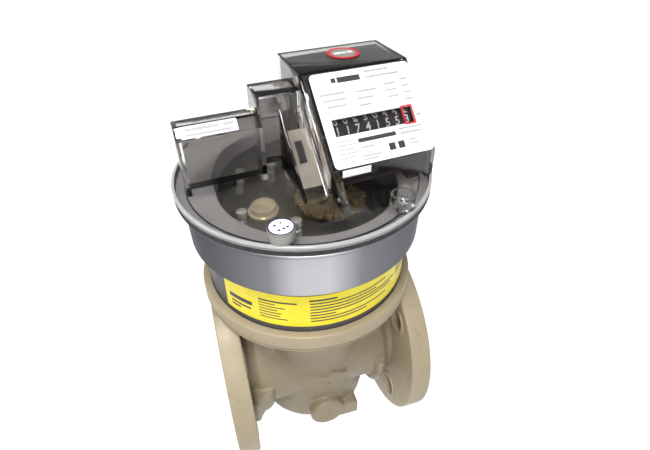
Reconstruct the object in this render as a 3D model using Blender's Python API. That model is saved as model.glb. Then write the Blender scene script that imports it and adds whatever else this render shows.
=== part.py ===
"""DN 50 radial-blade turbine gas meter with a swivelling index head.

All lengths are in millimetres and are turned into metres when vertices are made.
Heights in the profiles are counted from the pipe axis. The base of the part is the
lowest point of the flange rims, so the pipe axis lies AXIS_HEIGHT above the ground.
"""
from math import atan2, cos, pi, radians, sin, sqrt, tau

import bmesh
import bpy
from mathutils import Matrix, Vector

MM = 0.001
GAP = 0.3

# Pipe connection, DN 50 PN 16
FACE_TO_FACE = 150.0
FLANGE_R = 82.5
FLANGE_T = 17.0
BORE_R = 26.0
BOLT_CIRCLE_R = 62.5
BOLT_HOLE_R = 9.0
AXIS_HEIGHT = FLANGE_R

# Cast body
POT_BOTTOM = -61.0
BODY_TOP = 78.0
CHAMBER_R = 44.5
LEDGE_Z = 70.0

# Clamp ring and neck
RING_R = 80.3
RING_Z = (79.3, 91.2)
NECK_R = 74.0
NECK_TOP = 131.4
SPIGOT_R = 60.0

# Index head
HEAD_YAW = radians(5.6)
DRUM_BOTTOM = 131.8
DRUM_TOP = 168.9
DRUM_R = 82.0
LIP_R = 87.2
RIM_R = 87.3
RIM_Z = (172.2, 175.7)
WELL_CENTRE = (-1.0, -11.0)
WELL_R = 60.0
WELL_FLOOR = 148.0
SCREW_CIRCLE_R = 79.0
SCREW_ANGLES = (-119.0, -61.0, 61.0, 119.0)
SEALED_CUP_TOP = 182.0
OPEN_CUP_TOP = 184.0

# Clear cover, seen in the head's own axes
WALL = 2.4
PLATE_C = 240.7
SLOPE_C = PLATE_C - 0.9 * sqrt(2.0)
BOX_X = (-0.5, 74.4)
BOX_Y = (-45.4, 42.0)
BOX_TOP = 239.0

# Counter
PLATE_X = (4.8, 73.4)
PLATE_Y = (-45.6, -2.9)
WINDOW_X = (11.0, 65.6)
WINDOW_Y = (-31.5, -24.1)
DIGITS = 8
DIGIT_PITCH = 6.8
DIGIT_R = 11.0
DRUM_AXIS = (-17.3, 202.4)
AXLE_R = 1.5
FRAME_X = (2.9, 71.5)
AXLE_X = (FRAME_X[0] + 1.5 + GAP, FRAME_X[1] - 1.5 - GAP)

# Gear train
MODULE = 0.8
ROTOR_TEETH = 14
REDUCTION_TEETH = 56
WORM_WHEEL_TEETH = 24
DRIVE_TEETH = 14
UNITS_TEETH = 20
GEAR_ANGLE = radians(-71.2)
GEAR_OFFSET = MODULE * (ROTOR_TEETH + REDUCTION_TEETH) / 2
ARBOR = (GEAR_OFFSET * cos(GEAR_ANGLE), GEAR_OFFSET * sin(GEAR_ANGLE))
WORM_R = 3.3
LAY_Y = ARBOR[1] + WORM_R + MODULE * WORM_WHEEL_TEETH / 2
SPUR_OFFSET = MODULE * (DRIVE_TEETH + UNITS_TEETH) / 2
LAY_Z = DRUM_AXIS[1] - sqrt(SPUR_OFFSET ** 2 - (LAY_Y - DRUM_AXIS[0]) ** 2)
WORM_X = ARBOR[0]

# Pillars on the gear plate
PILLARS = ((-40.0, 22.0), (-15.5, 26.0), (-50.0, -25.0), (-22.0, -47.0))
COUNTER_PILLARS = ((14.0, 30.0), (36.0, 6.0))

# Turbine
BLADES = 12
BLADE_R = 37.0
BLADE_HALF = 22.0
SHAFT_R = 2.0

PALETTE = {
    "cream_paint": ((0.55, 0.49, 0.36), 0.55, 0.0),
    "turned_aluminium": ((0.50, 0.51, 0.54), 0.35, 1.0),
    "dark_paint": ((0.06, 0.06, 0.065), 0.5, 0.0),
    "cast_aluminium": ((0.42, 0.42, 0.42), 0.55, 1.0),
    "steel": ((0.55, 0.55, 0.56), 0.3, 1.0),
    "brass": ((0.72, 0.58, 0.30), 0.3, 1.0),
    "bronze_plate": ((0.13, 0.12, 0.08), 0.5, 0.6),
    "black_rubber": ((0.01, 0.01, 0.01), 0.7, 0.0),
    "clear_plastic": ((0.32, 0.29, 0.26), 0.1, 0.0),
    "white_plastic": ((0.85, 0.85, 0.87), 0.4, 0.0),
    "black_plastic": ((0.015, 0.015, 0.018), 0.45, 0.0),
    "grey_plastic": ((0.30, 0.28, 0.25), 0.5, 0.0),
    "yellow_film": ((0.85, 0.70, 0.02), 0.4, 0.0),
    "red_film": ((0.65, 0.03, 0.03), 0.4, 0.0),
    "magnet": ((0.08, 0.08, 0.09), 0.35, 1.0),
}


# ---------------------------------------------------------------- tools

def clear_scene():
    for obj in list(bpy.data.objects):
        bpy.data.objects.remove(obj, do_unlink=True)


def empty(name, parent=None, location=(0, 0, 0), yaw=0.0):
    obj = bpy.data.objects.new(name, None)
    bpy.context.scene.collection.objects.link(obj)
    obj.parent = parent
    obj.location = Vector(location) * MM
    obj.rotation_euler = (0, 0, yaw)
    return obj


def material(name, palette_key):
    colour, roughness, metallic = PALETTE[palette_key]
    mat = bpy.data.materials.new(name)
    mat.use_nodes = True
    shader = mat.node_tree.nodes["Principled BSDF"]
    shader.inputs["Base Color"].default_value = (*colour, 1.0)
    shader.inputs["Roughness"].default_value = roughness
    shader.inputs["Metallic"].default_value = metallic
    return mat


def solid(verts, faces):
    """Closed bmesh from points in millimetres and faces given by index."""
    bm = bmesh.new()
    made = [bm.verts.new(Vector(v) * MM) for v in verts]
    for face in faces:
        bm.faces.new([made[i] for i in face])
    bmesh.ops.recalc_face_normals(bm, faces=bm.faces)
    return bm


def turned(profile, segments=40, axis="Z", centre=(0, 0, 0), start=0.0):
    """Solid of revolution of a closed outline of (radius, height) points."""
    verts = []
    rings = []
    for radius, height in profile:
        ring = []
        count = 1 if radius == 0 else segments
        for k in range(count):
            angle = start + tau * k / segments
            x, y = radius * cos(angle), radius * sin(angle)
            point = {"Z": (x, y, height), "X": (height, x, y), "Y": (y, height, x)}[axis]
            ring.append(len(verts))
            verts.append(tuple(p + c for p, c in zip(point, centre)))
        rings.append(ring)
    faces = []
    for i, low in enumerate(rings):
        high = rings[(i + 1) % len(rings)]
        for k in range(segments):
            quad = [low[k % len(low)], low[(k + 1) % len(low)],
                    high[(k + 1) % len(high)], high[k % len(high)]]
            corners = list(dict.fromkeys(quad))
            if len(corners) > 2:
                faces.append(corners)
    return solid(verts, faces)


def cylinder(radius, low, high, axis="Z", centre=(0, 0, 0), segments=20, start=0.0):
    return turned([(0, low), (radius, low), (radius, high), (0, high)], segments, axis, centre, start)


def tube(inner, outer, low, high, axis="Z", centre=(0, 0, 0), segments=40):
    outline = [(inner, low), (outer, low), (outer, high), (inner, high)]
    return turned(outline, segments, axis, centre)


def prism(outline, low, high, axis="X"):
    """Outline extruded along an axis: (y, z) for X, (x, z) for Y and (x, y) for Z."""
    place = {"X": lambda a, b, h: (h, a, b), "Y": lambda a, b, h: (a, h, b),
             "Z": lambda a, b, h: (a, b, h)}[axis]
    count = len(outline)
    verts = [place(a, b, h) for h in (low, high) for a, b in outline]
    faces = [list(range(count)), [count + i for i in range(count)]]
    for i in range(count):
        j = (i + 1) % count
        faces.append([i, j, count + j, count + i])
    return solid(verts, faces)


def block(x, y, z):
    return prism([(x[0], y[0]), (x[1], y[0]), (x[1], y[1]), (x[0], y[1])], z[0], z[1], "Z")


def turned_about(bm, angle, centre=(0, 0, 0), axis="Z"):
    """The same solid after a rotation about an axis through a point."""
    pivot = Vector(centre) * MM
    bmesh.ops.rotate(bm, verts=bm.verts, cent=pivot, matrix=Matrix.Rotation(angle, 3, axis))
    return bm


def as_object(name, bm):
    mesh = bpy.data.meshes.new(name)
    bm.to_mesh(mesh)
    bm.free()
    obj = bpy.data.objects.new(name, mesh)
    bpy.context.scene.collection.objects.link(obj)
    return obj


def combine(base, steps):
    """Join or cut solids one after the other and return the result as a bmesh."""
    target = as_object("work", base)
    for operation, tool_mesh in steps:
        tool = as_object("tool", tool_mesh)
        modifier = target.modifiers.new("step", "BOOLEAN")
        modifier.operation = operation
        modifier.solver = "EXACT"
        modifier.object = tool
        bpy.context.view_layer.update()
        evaluated = target.evaluated_get(bpy.context.evaluated_depsgraph_get())
        result = bpy.data.meshes.new_from_object(evaluated)
        target.modifiers.clear()
        target.data = result
        bpy.data.objects.remove(tool, do_unlink=True)
    bm = bmesh.new()
    bm.from_mesh(target.data)
    bmesh.ops.dissolve_degenerate(bm, dist=0.001 * MM, edges=bm.edges)
    bpy.data.objects.remove(target, do_unlink=True)
    return bm


def add(*tools):
    return [("UNION", tool) for tool in tools]


def cut(*tools):
    return [("DIFFERENCE", tool) for tool in tools]


def node(name, bm, palette_key, parent, location=(0, 0, 0)):
    obj = as_object(name, bm)
    obj.data.materials.append(material(name, palette_key))
    obj.data.shade_smooth()
    obj.data.set_sharp_from_angle(angle=radians(35))
    obj.parent = parent
    obj.location = Vector(location) * MM
    return obj


def gear(teeth, low, high, bore=None, axis="Z", phase=0.0):
    """Spur gear with plain sloping flanks and a little backlash, toothed from phase."""
    pitch = MODULE * teeth / 2
    points = []
    for k in range(teeth):
        middle = phase + tau * k / teeth
        for radius, part in ((pitch - 1.2 * MODULE, -0.30), (pitch + 0.95 * MODULE, -0.12),
                             (pitch + 0.95 * MODULE, 0.12), (pitch - 1.2 * MODULE, 0.30)):
            angle = middle + part * tau / teeth
            points.append((radius * cos(angle), radius * sin(angle)))
    wheel = prism(points, low, high, axis)
    if bore:
        wheel = combine(wheel, cut(cylinder(bore, low - 1, high + 1, axis, segments=16)))
    return wheel


# ---------------------------------------------------------------- cast body and measuring unit

def pot_outline(offset=0.0):
    """Outer outline of the pot from its top edge down to the middle of its floor."""
    points = [(79.6, BODY_TOP), (79.6, 76.3), (77.2, 74.2), (71.5, 69.0), (65.0, 66.2), (56.5, 61.5),
              (52.5, 53.0), (51.0, 40.0), (50.2, 5.0), (49.4, -30.0), (49.0, -48.0), (48.0, -55.0),
              (45.5, -59.0), (41.0, POT_BOTTOM)]
    return [(r + offset, z) for r, z in points]


def flange(side):
    half = FACE_TO_FACE / 2
    return cylinder(FLANGE_R, side * (half - FLANGE_T), side * half, "X", segments=40)


def neck(side, profile):
    """Neck between pot and flange, turned about the pipe axis: (radius, distance from the middle)."""
    end = FACE_TO_FACE / 2 - FLANGE_T + 1.3
    outline = [(0, 20.0)] + profile + [(profile[-1][0] + 0.7, end), (0, end)]
    return turned([(r, side * x) for r, x in outline], 40, "X")


def swollen_neck(side, profile):
    """Lower half of a neck, which swells out round the bolt circle."""
    below = block((-80.0, 80.0), (-90.0, 90.0), (-90.0, 4.0))
    return combine(neck(side, profile), [("INTERSECT", below)])


def pipe_ends():
    """Both flanges, the plain upper necks and the swollen lower ones."""
    upper = [(47.5, 20.0), (47.5, 53.0), (45.5, 56.0)]
    inlet = [(40.0, 20.0), (40.0, 40.0), (50.0, 44.0), (53.5, 48.0), (54.5, 52.0), (58.0, 56.0)]
    outlet = [(40.0, 20.0), (40.0, 40.0), (47.0, 43.0), (53.0, 46.0), (54.5, 49.0), (53.0, 52.0), (48.0, 55.0)]
    return add(flange(-1), flange(1), neck(-1, upper), neck(1, upper), swollen_neck(-1, inlet),
               swollen_neck(1, outlet))


def bolt_holes():
    middle = FACE_TO_FACE / 2 - FLANGE_T / 2
    reach = FLANGE_T / 2 + 2.0
    holes = []
    for side in (-1, 1):
        for k in range(4):
            angle = radians(45 + 90 * k)
            centre = (side * middle, BOLT_CIRCLE_R * cos(angle), BOLT_CIRCLE_R * sin(angle))
            holes.append(cylinder(BOLT_HOLE_R, -reach, reach, "X", centre, 16))
    return holes


def flow_arrow():
    """Raised arrow that follows the front of the pot and points along the flow."""
    outline = [(-24.0, 9.0), (-24.0, 2.0), (4.0, -4.0), (4.0, -9.5), (25.0, -3.5), (4.0, 9.0), (4.0, 3.5)]
    arrow = prism(outline, -62.0, -35.0, "Y")
    shell = turned([(0, 35.0), (51.8, 35.0)] + [(r, z) for r, z in pot_outline(0.9) if z < 30.0]
                   + [(0, POT_BOTTOM)])
    return combine(arrow, [("INTERSECT", shell)])


def cast_body():
    pot = turned([(0, BODY_TOP)] + pot_outline() + [(0, POT_BOTTOM)])
    boss = turned([(0, -57.0), (13.4, -57.0), (15.0, -55.4), (15.0, -38.0), (0, -38.0)], 24, "Y", (0, 0, -43.0))
    lug = prism([(12.0, -60.5), (29.5, -60.5), (29.5, -47.0), (27.0, -44.5), (12.0, -44.5)], -52.5, -30.0, "Y")
    chamber = turned([(0, -54.0), (CHAMBER_R - 3, -54.0), (CHAMBER_R, -51.0), (CHAMBER_R, LEDGE_Z),
                      (67.0, LEDGE_Z), (67.0, 90.0), (0, 90.0)])
    gas_way = turned([(0, -90), (BORE_R, -90), (BORE_R, -60), (36.0, -44), (36.0, 44), (BORE_R, 60),
                      (BORE_R, 90), (0, 90)], 24, "X")
    above = cylinder(100.0, BODY_TOP, 100.0)
    steps = pipe_ends() + add(boss, lug, flow_arrow()) + cut(chamber, above, gas_way, *bolt_holes())
    return combine(pot, steps)


def clamp_ring():
    low, high = RING_Z
    return turned([(77.6, low), (RING_R, low), (RING_R, high - 1.0), (RING_R - 1.0, high),
                   (NECK_R + GAP, high), (NECK_R + GAP, 86.1), (77.6, 86.1)])


def body_seal():
    return tube(70.0, 76.6, BODY_TOP + GAP, 79.2)


def neck_housing():
    flange_r = 77.2
    outline = [(64.0, 79.6), (flange_r, 79.6), (flange_r, 85.7), (NECK_R, 85.7), (NECK_R, NECK_TOP),
               (66.0, NECK_TOP), (66.0, 129.3), (62.0, 129.3), (62.0, NECK_TOP), (SPIGOT_R, NECK_TOP),
               (SPIGOT_R, 138.6), (15.5, 138.6), (15.5, 124.0), (64.0, 124.0)]
    return turned(outline)


def yellow_label():
    """Printed film wrapped round the front of the neck, as a thin curved plate."""
    start, end, steps = radians(-152.0), radians(-20.0), 16
    inner, outer = NECK_R + GAP, NECK_R + GAP + 0.35
    angles = [start + (end - start) * k / steps for k in range(steps + 1)]
    outline = [(outer * cos(a), outer * sin(a)) for a in angles]
    outline += [(inner * cos(a), inner * sin(a)) for a in reversed(angles)]
    return prism(outline, 96.4, 124.5, "Z")


def separating_cup():
    return turned([(0, 136.5), (9.0, 136.5), (9.0, 121.4), (22.0, 121.4), (22.0, 123.7),
                   (10.0, 123.7), (10.0, 137.6), (0, 137.6)], 20)


def measuring_insert():
    low = LEDGE_Z + GAP
    return turned([(2.3, 56.0), (10.0, 56.0), (10.0, low), (66.6, low), (66.6, low + 6), (5.3, low + 6),
                   (5.3, 60.0), (2.3, 60.0)])


def guide_ring():
    """Hanging basket with slanting gas slots all round and a floor that carries the lower bearing."""
    outer, inner = CHAMBER_R - 0.6, 41.0
    basket = turned([(0, -51.0), (outer - 3, -51.0), (outer, -48.0), (outer, LEDGE_Z - 0.2),
                     (inner, LEDGE_Z - 0.2), (inner, -46.5), (8.0, -46.5), (8.0, -36.0),
                     (5.3, -36.0), (5.3, -43.0), (0, -43.0)])
    slots = []
    for k in range(12):
        slot = block((36.0, 50.0), (-6.0, 3.0), (-26.0, 26.0))
        slot = turned_about(slot, radians(28.0), (43.0, 0, 0))
        slots.append(turned_about(slot, tau * (k + 0.5) / 12))
    return combine(basket, cut(*slots))


def bearing(z_low):
    return tube(2.3, 5.0, z_low, z_low + 5.4, segments=20)


def turbine_wheel():
    hub = turned([(2.3, -BLADE_HALF), (8.0, -BLADE_HALF), (8.0, BLADE_HALF), (2.3, BLADE_HALF)], 20)
    blades = []
    for k in range(BLADES):
        blade = block((7.0, BLADE_R), (-0.6, 0.6), (-BLADE_HALF + 2, BLADE_HALF - 2))
        blades.append(turned_about(blade, tau * (k + 0.25) / BLADES))
    return combine(hub, add(*blades))


# ---------------------------------------------------------------- index head

def head_housing():
    """Turned drum with a lip, an off-centre well for the gears and a recess for the neck."""
    drum = turned([(16.2, 139.0), (SPIGOT_R + 0.4, 139.0), (SPIGOT_R + 0.4, DRUM_BOTTOM),
                   (DRUM_R - 1.0, DRUM_BOTTOM), (DRUM_R - 0.2, DRUM_BOTTOM + 1.0), (DRUM_R + 0.6, 161.0),
                   (DRUM_R + 1.2, 164.0), (LIP_R, 167.6), (LIP_R, DRUM_TOP), (16.2, DRUM_TOP)])
    well = cylinder(WELL_R, WELL_FLOOR, 190.0, centre=(*WELL_CENTRE, 0), segments=40)
    holes = [cylinder(2.4, 150.0, 180.0, centre=c, segments=12) for c in screw_centres()]
    return combine(drum, cut(well, *holes))


def counter_outline(depth=0.0, low=172.5):
    front, back, top = BOX_Y[0] + depth, BOX_Y[1] - depth, BOX_TOP - depth
    constant = SLOPE_C - depth * sqrt(2.0)
    return [(front, low), (back, low), (back, top), (top - constant, top), (front, front + constant)]


def left_outline(depth=0.0, low=172.5):
    front, back, top = -8.4 + depth, 8.0 - depth, 219.4 - depth
    constant = 221.0 - depth * sqrt(2.0)
    return [(front, low), (back, low), (back, top), (top - constant, top), (front, front + constant)]


def clear_cover():
    """One moulded shell: round base plate, counter box, left box, tower, sloping pocket and tab."""
    plate = turned([(0, RIM_Z[0]), (RIM_R, RIM_Z[0]), (RIM_R, RIM_Z[1] - 0.8), (RIM_R - 0.8, RIM_Z[1]),
                    (0, RIM_Z[1])])
    outside = add(
        prism(counter_outline(), *BOX_X),
        prism(left_outline(), -79.0, -27.0),
        prism([(-2.0, 172.5), (21.0, 172.5), (21.0, 229.5), (-2.0, 229.5)], -28.0, 0.5),
        prism([(-45.5, 175.0), (0.0, 175.0), (0.0, 220.5)], -15.0, 0.6),
        prism([(-63.5, 175.0), (-44.0, 175.0), (-44.0, 194.5)], 2.5, 7.5))
    inside = cut(
        prism(counter_outline(WALL, 165.0), BOX_X[0] + WALL, BOX_X[1] - WALL),
        prism(left_outline(WALL, 165.0), -75.8, -30.0),
        prism([(0.4, 165.0), (18.6, 165.0), (18.6, 227.1), (0.4, 227.1)], -25.6, -1.9),
        prism([(-41.5, 165.0), (1.0, 165.0), (1.0, 218.4), (-41.5, 175.9)], -12.8, BOX_X[0] + WALL + 0.2))
    holes = cut(*[cylinder(2.4, 165.0, 185.0, centre=c, segments=12) for c in screw_centres()])
    return combine(plate, outside + inside + holes)


def cover_gasket():
    return tube(82.0, 86.4, DRUM_TOP + GAP, RIM_Z[0] - GAP)


def swivel_seal():
    return tube(62.3, 65.7, 129.6, DRUM_BOTTOM - GAP)


def on_slope(outline, thickness):
    """Plate lying on the front slope: outline of (x, distance up the slope from y=0, z=0)."""
    half = sqrt(0.5)
    verts = []
    for depth in (0.0, thickness):
        for x, s in outline:
            verts.append((x, s * half + depth * half, s * half - depth * half))
    count = len(outline)
    faces = [list(range(count)), [count + i for i in range(count)]]
    for i in range(count):
        j = (i + 1) % count
        faces.append([i, j, count + j, count + i])
    return solid(verts, faces)


def rounded(x, s, radius, steps=4):
    points = []
    corners = ((x[1] - radius, s[1] - radius, 0), (x[0] + radius, s[1] - radius, 1),
               (x[0] + radius, s[0] + radius, 2), (x[1] - radius, s[0] + radius, 3))
    for cx, cs, quarter in corners:
        for k in range(steps + 1):
            angle = (quarter + k / steps) * pi / 2
            points.append((cx + radius * cos(angle), cs + radius * sin(angle)))
    return points


def index_plate():
    """White front plate with the counter window, in slope coordinates from its lower edge."""
    height = (PLATE_Y[1] - PLATE_Y[0]) * sqrt(2.0)
    plate = on_slope(rounded(PLATE_X, (0, height), 3.0), 0.6)
    low = (WINDOW_Y[0] - PLATE_Y[0]) * sqrt(2.0)
    high = (WINDOW_Y[1] - PLATE_Y[0]) * sqrt(2.0)
    window = on_slope([(WINDOW_X[0], low), (WINDOW_X[1], low), (WINDOW_X[1], high), (WINDOW_X[0], high)], 4.0)
    lift = Vector((0, -1.0, 1.0)) * MM
    bmesh.ops.translate(window, verts=window.verts, vec=lift)
    return combine(plate, cut(window))


def side_label():
    """Film on the slope of the left box."""
    return on_slope([(-75.3, 1.2), (-41.8, 1.2), (-41.8, 8.9), (-75.3, 8.9)], 0.3)


def number_drum(last):
    drum = tube(AXLE_R + GAP, DIGIT_R, -3.25, 3.25, "X", segments=20)
    return drum if not last else combine(drum, add(units_gear()))


def units_gear():
    toward_lay = atan2(LAY_Z - DRUM_AXIS[1], LAY_Y - DRUM_AXIS[0])
    return gear(UNITS_TEETH, 3.0, 5.6, AXLE_R + GAP, "X", toward_lay + tau / UNITS_TEETH / 2)


def drive_pinion():
    toward_drum = atan2(DRUM_AXIS[1] - LAY_Z, DRUM_AXIS[0] - LAY_Y)
    return gear(DRIVE_TEETH, 65.8, 67.7, AXLE_R + GAP, "X", toward_drum)


def worm_wheel():
    toward_worm = pi
    return gear(WORM_WHEEL_TEETH, WORM_X - 1.5, WORM_X + 1.5, AXLE_R + GAP, "X", toward_worm)


def worm_arbor():
    """Upright arbor whose upper end is a single-start worm."""
    low, high, base = LAY_Z - 6.0, LAY_Z + 3.2, 150.9
    pitch = pi * MODULE
    around, along = 12, 24
    verts = [(0, 0, base)]
    rows = [[0] * around]

    def row(radius_at, height):
        ring = []
        for k in range(around):
            angle = tau * k / around
            radius = radius_at(angle, height)
            ring.append(len(verts))
            verts.append((radius * cos(angle), radius * sin(angle), height))
        rows.append(ring)

    def thread(angle, height):
        turn = (height - LAY_Z) / pitch - (angle - pi / 2) / tau
        phase = abs(2 * (turn - round(turn)))
        fade = min(1.0, (height - low) / 1.2, (high - height) / 1.2)
        crest = min(1.0, max(0.0, (phase - 0.45) / 0.3))
        return WORM_R - 1.1 * MODULE + 1.9 * MODULE * crest * fade

    plain = WORM_R - 1.1 * MODULE
    row(lambda a, h: AXLE_R, base)
    row(lambda a, h: AXLE_R, low - 1.0)
    row(lambda a, h: plain, low - 0.5)
    for i in range(along + 1):
        row(thread, low + (high - low) * i / along)
    verts.append((0, 0, high + 0.5))
    top = len(verts) - 1
    row(lambda a, h: plain, high + 0.4)
    faces = []
    for lower, upper in zip(rows, rows[1:]):
        for k in range(around):
            j = (k + 1) % around
            corners = list(dict.fromkeys([lower[k], lower[j], upper[j], upper[k]]))
            faces.append(corners)
    last = rows[-1]
    for k in range(around):
        faces.append([last[k], last[(k + 1) % around], top])
    return solid(verts, faces)


def gear_plate():
    plate = cylinder(WELL_R - 0.8, WELL_FLOOR + GAP, WELL_FLOOR + 2.3, centre=(*WELL_CENTRE, 0), segments=48)
    return combine(plate, cut(cylinder(4.2, 140, 160, segments=16)))


def counter_frame():
    """Housing round the drums, open to the front, whose cheeks hold the axles, on a foot and two pillars."""
    front, back, top, slope = -41.5, 38.0, 234.0, 234.4
    cheek = [(front, 177.0), (back, 177.0), (back, top), (top - slope, top), (front, front + slope)]
    low_x, high_x = FRAME_X
    base = block(FRAME_X, (-34.0, back), (175.9, 178.2))
    parts = add(prism(cheek, low_x, low_x + 1.5), prism(cheek, high_x - 1.5, high_x),
                block((62.5, high_x), (-34.0, back), (DRUM_TOP + GAP, 176.5)),
                block(FRAME_X, (back - 1.5, back), (176.5, top)),
                block(FRAME_X, (top - slope, back), (top - 1.5, top)))
    for x, y in COUNTER_PILLARS:
        parts += add(cylinder(2.8, WELL_FLOOR + 2.3 + GAP, 177.0, centre=(x, y, 0), segments=16))
    passage = cylinder(2.4, 170.0, 182.0, centre=(ARBOR[0], ARBOR[1], 0), segments=16)
    return combine(base, parts + cut(passage))


def pillar():
    """Short pillar on the gear plate with a screw in its top."""
    floor = WELL_FLOOR + 2.3 + GAP
    return turned([(0, floor), (3.0, floor), (3.0, 161.0), (2.2, 161.6), (2.2, 163.0), (3.4, 163.4),
                   (3.4, 167.0), (0, 167.6)], 16)


def calibration_boss():
    low = WELL_FLOOR + 2.3 + GAP
    return turned([(0, low), (10.4, low), (10.4, low + 1.6), (8.6, low + 1.6), (8.6, low + 4.6),
                   (6.6, low + 4.6), (6.0, low + 2.2), (0, low + 2.2)], 20, centre=(-31.0, -6.0, 0))


def cover_screw():
    return turned([(0, 152.0), (2.0, 152.0), (2.0, 178.3), (4.2, 178.3), (4.2, 180.2), (3.6, 180.8),
                   (1.5, 180.8), (1.5, 179.8), (0, 179.8)], 16)


def seal_cup(top):
    low = RIM_Z[1] + GAP
    return turned([(2.4, low), (8.0, low), (8.0, top), (6.4, top), (6.4, 178.0), (2.4, 178.0)], 20)


def seal_disc(low):
    return turned([(0, low - 1.0), (6.0, low - 1.0), (6.0, low), (8.0, low), (8.0, low + 1.1), (0, low + 1.1)], 20)


def screw_centres():
    angles = [radians(a) for a in SCREW_ANGLES]
    return [(SCREW_CIRCLE_R * cos(a), SCREW_CIRCLE_R * sin(a), 0) for a in angles]


def sensor_board():
    """Panel parallel to the pocket's slope."""
    return on_slope([(-12.2, 8.0), (2.4, 8.0), (2.4, 46.0), (-12.2, 46.0)], 1.4)


def reed_sensor():
    return on_slope([(-9.6, 22.0), (-5.4, 22.0), (-5.4, 36.0), (-9.6, 36.0)], 1.6)


# ---------------------------------------------------------------- assembly

def build_body(frame):
    node("cast_body", cast_body(), "cream_paint", frame)
    node("clamp_ring", clamp_ring(), "cream_paint", frame)
    node("body_seal", body_seal(), "black_rubber", frame)
    node("neck_housing", neck_housing(), "dark_paint", frame)
    node("yellow_label", yellow_label(), "yellow_film", frame)
    node("separating_cup", separating_cup(), "steel", frame)
    node("measuring_insert", measuring_insert(), "cast_aluminium", frame)
    node("guide_ring", guide_ring(), "cast_aluminium", frame)
    node("upper_bearing", bearing(60.3), "steel", frame)
    node("lower_bearing", bearing(-42.6), "steel", frame)
    node("swivel_seal", swivel_seal(), "black_rubber", frame)


def build_turbine(frame):
    node("turbine_wheel", turbine_wheel(), "cast_aluminium", frame)
    node("turbine_shaft", cylinder(SHAFT_R, -42.6, 123.6, segments=16), "steel", frame)
    node("inner_magnet", cylinder(8.4, 124.0, 135.6, segments=24), "magnet", frame)


def build_head_shell(head):
    node("head_housing", head_housing(), "turned_aluminium", head)
    node("cover_gasket", cover_gasket(), "black_rubber", head)
    node("clear_cover", clear_cover(), "clear_plastic", head)
    node("index_plate", index_plate(), "white_plastic", head, (0, PLATE_Y[0], PLATE_Y[0] + PLATE_C))
    slope_start = (0, -8.4 - 0.43, -8.4 + 221.0 + 0.43)
    node("side_label", side_label(), "white_plastic", head, slope_start)
    sticker = tube(8.6, 10.9, BOX_TOP + GAP, BOX_TOP + 0.6, centre=(39.9, 23.1, 0), segments=24)
    node("ring_sticker", sticker, "red_film", head)
    strip = block((9.0, 28.0), (BOX_Y[0] - 0.7, BOX_Y[0] - GAP), (189.2, 193.8))
    node("unit_strip", strip, "white_plastic", head)
    plug = cylinder(3.0, -2.2, BOX_X[0] - GAP, "X", (0, 1.5, 234.2), 16)
    node("side_plug", plug, "grey_plastic", head)


def build_seals(head):
    for k, centre in enumerate(screw_centres()):
        node(f"cover_screw_{k + 1}", cover_screw(), "steel", head, centre)
        sealed = k == 0
        top = SEALED_CUP_TOP if sealed else OPEN_CUP_TOP
        node(f"seal_cup_{k + 1}", seal_cup(top), "grey_plastic" if sealed else "clear_plastic", head, centre)
    node("seal_disc", seal_disc(SEALED_CUP_TOP + GAP), "white_plastic", head, screw_centres()[0])


def build_mechanism(head):
    node("gear_plate", gear_plate(), "bronze_plate", head)
    for k, (x, y) in enumerate(PILLARS):
        node(f"gear_pillar_{k + 1}", pillar(), "steel", head, (x, y, 0))
    node("calibration_boss", calibration_boss(), "brass", head)
    bush = turned([(2.3, 146.2), (3.9, 146.2), (3.9, 150.6), (5.4, 150.6), (5.4, 152.6), (4.2, 153.4),
                   (4.2, 158.6), (2.3, 158.6)], 20)
    node("rotor_bush", bush, "brass", head)
    node("counter_frame", counter_frame(), "grey_plastic", head)
    axle = cylinder(AXLE_R, *AXLE_X, "X", (0, *DRUM_AXIS), 16)
    node("drum_axle", axle, "steel", head)
    node("pulse_pickup", cylinder(3.6, 150.6, 168.0, centre=(40.0, -36.0, 0), segments=20), "black_plastic", head)
    node("sensor_board", sensor_board(), "grey_plastic", head, (0, -40.0, -40.0 + 220.5 - 4.6 * sqrt(2)))
    node("reed_sensor", reed_sensor(), "black_plastic", head, (0, -40.0, -40.0 + 220.5 - 2.7 * sqrt(2)))


def build_magnet_rotor(head):
    cup = turned([(0, 139.2), (10.9, 139.2), (10.9, 126.0), (14.7, 126.0), (14.7, 141.2), (0, 141.2)], 20)
    node("outer_magnet", cup, "magnet", head)
    shaft = cylinder(SHAFT_R, 141.5, 165.0, segments=16)
    node("rotor_shaft", shaft, "steel", head)
    pinion = gear(ROTOR_TEETH, 159.0, 164.6, SHAFT_R + GAP, "Z", GEAR_ANGLE)
    node("rotor_pinion", pinion, "brass", head)


def build_reduction(head):
    place = (ARBOR[0], ARBOR[1], 0)
    phase = GEAR_ANGLE + pi + tau / REDUCTION_TEETH / 2
    node("reduction_gear", gear(REDUCTION_TEETH, 160.3, 163.3, AXLE_R + GAP, "Z", phase), "brass", head, place)
    node("worm_arbor", worm_arbor(), "steel", head, place)


def build_lay_shaft(head):
    place = (0, LAY_Y, LAY_Z)
    node("lay_shaft", cylinder(AXLE_R, *AXLE_X, "X", segments=16), "steel", head, place)
    node("worm_wheel", worm_wheel(), "brass", head, place)
    node("drive_pinion", drive_pinion(), "brass", head, place)


def build_counter(head):
    for k in range(DIGITS):
        x = WINDOW_X[0] + 0.1 + DIGIT_PITCH * (k + 0.5)
        last = k == DIGITS - 1
        node(f"number_drum_{k + 1}", number_drum(last), "black_plastic", head, (x, *DRUM_AXIS))


def main():
    clear_scene()
    frame = empty("pipe_axis", location=(0, 0, AXIS_HEIGHT))
    head = empty("head_axis", parent=frame, yaw=HEAD_YAW)
    build_body(frame)
    build_turbine(frame)
    build_head_shell(head)
    build_seals(head)
    build_mechanism(head)
    build_magnet_rotor(head)
    build_reduction(head)
    build_lay_shaft(head)
    build_counter(head)


main()
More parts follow.
